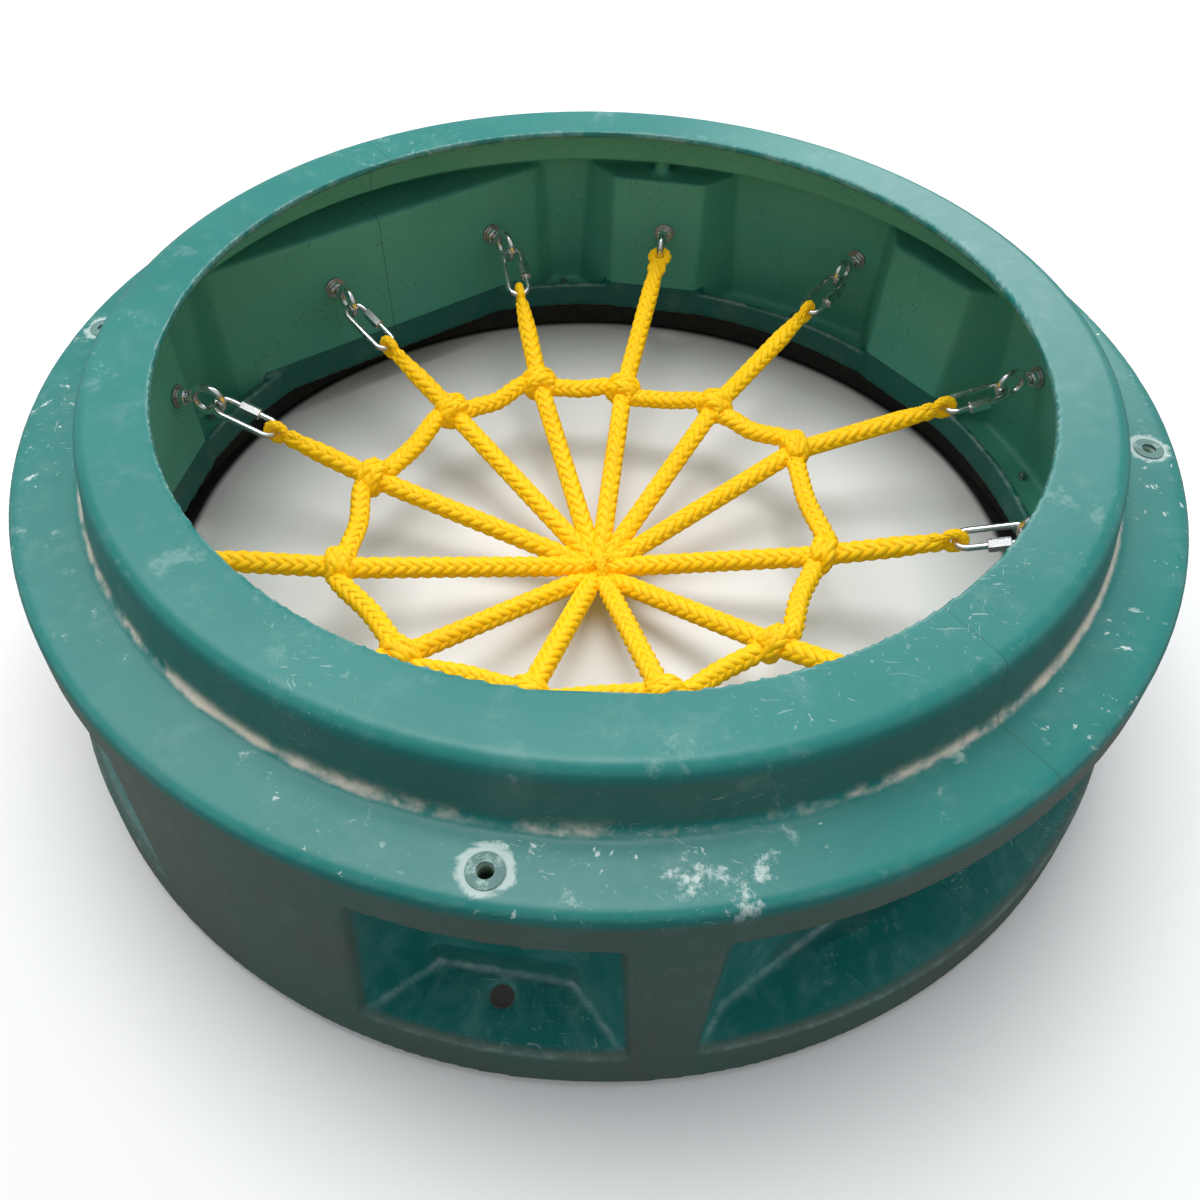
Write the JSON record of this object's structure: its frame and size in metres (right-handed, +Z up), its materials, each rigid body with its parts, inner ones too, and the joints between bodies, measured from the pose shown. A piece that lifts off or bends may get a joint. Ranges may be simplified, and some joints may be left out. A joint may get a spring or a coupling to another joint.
{
  "type": "merry go round",
  "caption": "Low round plastic merry-go-round drum with side pockets and a rope web net hung inside on eye bolts and quick links, turning on a ball race on the ground.",
  "frame": {"origin": "centre of the ball race's underside, on the ground", "axes": "+Z up along the turning axis; +X and +Y lie on the ground, the drum's two wide pockets face bearings 127.5 and 307.5 degrees from +X"},
  "size_m": [1.2458, 1.246, 0.378],
  "materials": {
    "drum_plastic": "worn, chalky satin",
    "rope": "braided, slightly dirty",
    "bright_steel": "satin stainless",
    "zinc_steel": "dull zinc",
    "race_steel": "dark satin",
    "cage_plastic": "satin",
    "black_rubber": "matte"
  },
  "bodies": {
    "base": {"lower_race": "race_steel"},
    "cage": {"race_balls": "bright_steel", "ball_cage": "cage_plastic"},
    "drum": {"drum_shell": "drum_plastic", "shelf_washers": "zinc_steel", "eye_bolts": "bright_steel", "wall_nuts": "bright_steel", "lock_nuts": "bright_steel", "steel_washers": "zinc_steel", "rubber_washers": "black_rubber", "upper_race": "race_steel", "race_seal": "black_rubber", "race_bolts": "zinc_steel", "race_nuts": "zinc_steel", "race_washers": "zinc_steel"},
    "net_middle": {"net_middle": "rope"},
    "net_ring": {"ring_rope": "rope"},
    "spoke_01": {"spoke_rope_01": "rope", "quick_link_01": "bright_steel", "link_sleeve_01": "bright_steel"},
    "spoke_02": {"spoke_rope_02": "rope", "quick_link_02": "bright_steel", "link_sleeve_02": "bright_steel"},
    "spoke_03": {"spoke_rope_03": "rope", "quick_link_03": "bright_steel", "link_sleeve_03": "bright_steel"},
    "spoke_04": {"spoke_rope_04": "rope"},
    "spoke_05": {"spoke_rope_05": "rope", "quick_link_05": "bright_steel", "link_sleeve_05": "bright_steel"},
    "spoke_06": {"spoke_rope_06": "rope", "quick_link_06": "bright_steel", "link_sleeve_06": "bright_steel"},
    "spoke_07": {"spoke_rope_07": "rope", "quick_link_07": "bright_steel", "link_sleeve_07": "bright_steel"},
    "spoke_08": {"spoke_rope_08": "rope", "quick_link_08": "bright_steel", "link_sleeve_08": "bright_steel"},
    "spoke_09": {"spoke_rope_09": "rope", "quick_link_09": "bright_steel", "link_sleeve_09": "bright_steel"},
    "spoke_10": {"spoke_rope_10": "rope", "quick_link_10": "bright_steel", "link_sleeve_10": "bright_steel"},
    "spoke_11": {"spoke_rope_11": "rope", "quick_link_11": "bright_steel", "link_sleeve_11": "bright_steel"},
    "spoke_12": {"spoke_rope_12": "rope", "quick_link_12": "bright_steel", "link_sleeve_12": "bright_steel"}
  },
  "joints": [
    {"name": "drum_spin", "type": "hinge", "parent": "base", "child": "drum", "pos_m": [0, 0, 0.028], "axis": [0, 0, 1], "continuous": true},
    {"name": "cage_turn", "type": "hinge", "parent": "base", "child": "cage", "pos_m": [0, 0, 0.028], "axis": [0, 0, 1], "continuous": true},
    {"name": "net_sag", "type": "slide", "parent": "drum", "child": "net_middle", "axis": [0, 0, 1], "range_m": [-0.012, 0], "stiffness_N_per_m": 12000, "springref_m": 0.003},
    {"name": "spoke_01_tilt", "type": "hinge", "parent": "drum", "child": "spoke_01", "pos_m": [-0.48759, 0.10364, 0.192], "axis": [-0.2452, -0.9695, 0], "range_deg": [-1.59, 0.02]},
    {"name": "spoke_02_tilt", "type": "hinge", "parent": "drum", "child": "spoke_02", "pos_m": [-0.35804, 0.32238, 0.192], "axis": [-0.6871, -0.7266, 0], "range_deg": [-1.62, 0.02]},
    {"name": "spoke_03_tilt", "type": "hinge", "parent": "drum", "child": "spoke_03", "pos_m": [-0.14763, 0.48287, 0.192], "axis": [-0.9607, -0.2774, 0], "range_deg": [-1.52, 0.02]},
    {"name": "spoke_04_tilt", "type": "hinge", "parent": "drum", "child": "spoke_04", "pos_m": [0.07777, 0.49104, 0.192], "axis": [-0.9875, 0.1577, 0], "range_deg": [-1.54, 0.02]},
    {"name": "spoke_05_tilt", "type": "hinge", "parent": "drum", "child": "spoke_05", "pos_m": [0.34075, 0.44408, 0.18889], "axis": [-0.8011, 0.5986, 0], "range_deg": [-1.36, 0.02]},
    {"name": "spoke_06_tilt", "type": "hinge", "parent": "drum", "child": "spoke_06", "pos_m": [0.52599, 0.19145, 0.18889], "axis": [-0.3534, 0.9355, 0], "range_deg": [-1.39, 0.02]},
    {"name": "spoke_07_tilt", "type": "hinge", "parent": "drum", "child": "spoke_07", "pos_m": [0.49104, -0.07777, 0.192], "axis": [0.1158, 0.9933, 0], "range_deg": [-1.63, 0.02]},
    {"name": "spoke_08_tilt", "type": "hinge", "parent": "drum", "child": "spoke_08", "pos_m": [0.35804, -0.32238, 0.192], "axis": [0.644, 0.765, 0], "range_deg": [-1.74, 0.02]},
    {"name": "spoke_09_tilt", "type": "hinge", "parent": "drum", "child": "spoke_09", "pos_m": [0.14763, -0.48287, 0.192], "axis": [0.952, 0.306, 0], "range_deg": [-1.67, 0.02]},
    {"name": "spoke_10_tilt", "type": "hinge", "parent": "drum", "child": "spoke_10", "pos_m": [-0.10797, -0.48701, 0.192], "axis": [0.9761, -0.2173, 0], "range_deg": [-1.69, 0.02]},
    {"name": "spoke_11_tilt", "type": "hinge", "parent": "drum", "child": "spoke_11", "pos_m": [-0.37045, -0.33355, 0.192], "axis": [0.6374, -0.7705, 0], "range_deg": [-1.67, 0.02]},
    {"name": "spoke_12_tilt", "type": "hinge", "parent": "drum", "child": "spoke_12", "pos_m": [-0.53806, -0.15429, 0.18889], "axis": [0.2404, -0.9707, 0], "range_deg": [-1.43, 0.02]},
    {"name": "ring_sag", "type": "slide", "parent": "drum", "child": "net_ring", "axis": [0, 0, 1], "range_m": [-0.00705, 0.0001]}
  ],
  "couplings": [
    {"joint": "cage_turn", "follows": "drum_spin", "ratio": 0.50673},
    {"joint": "spoke_01_tilt", "follows": "net_sag", "rad_per_m": 2.2881},
    {"joint": "spoke_02_tilt", "follows": "net_sag", "rad_per_m": 2.3234},
    {"joint": "spoke_03_tilt", "follows": "net_sag", "rad_per_m": 2.1761},
    {"joint": "spoke_04_tilt", "follows": "net_sag", "rad_per_m": 2.2099},
    {"joint": "spoke_05_tilt", "follows": "net_sag", "rad_per_m": 1.9566},
    {"joint": "spoke_06_tilt", "follows": "net_sag", "rad_per_m": 1.9903},
    {"joint": "spoke_07_tilt", "follows": "net_sag", "rad_per_m": 2.338},
    {"joint": "spoke_08_tilt", "follows": "net_sag", "rad_per_m": 2.4946},
    {"joint": "spoke_09_tilt", "follows": "net_sag", "rad_per_m": 2.3956},
    {"joint": "spoke_10_tilt", "follows": "net_sag", "rad_per_m": 2.4331},
    {"joint": "spoke_11_tilt", "follows": "net_sag", "rad_per_m": 2.3944},
    {"joint": "spoke_12_tilt", "follows": "net_sag", "rad_per_m": 2.0509},
    {"joint": "ring_sag", "follows": "net_sag", "ratio": 0.579}
  ]
}
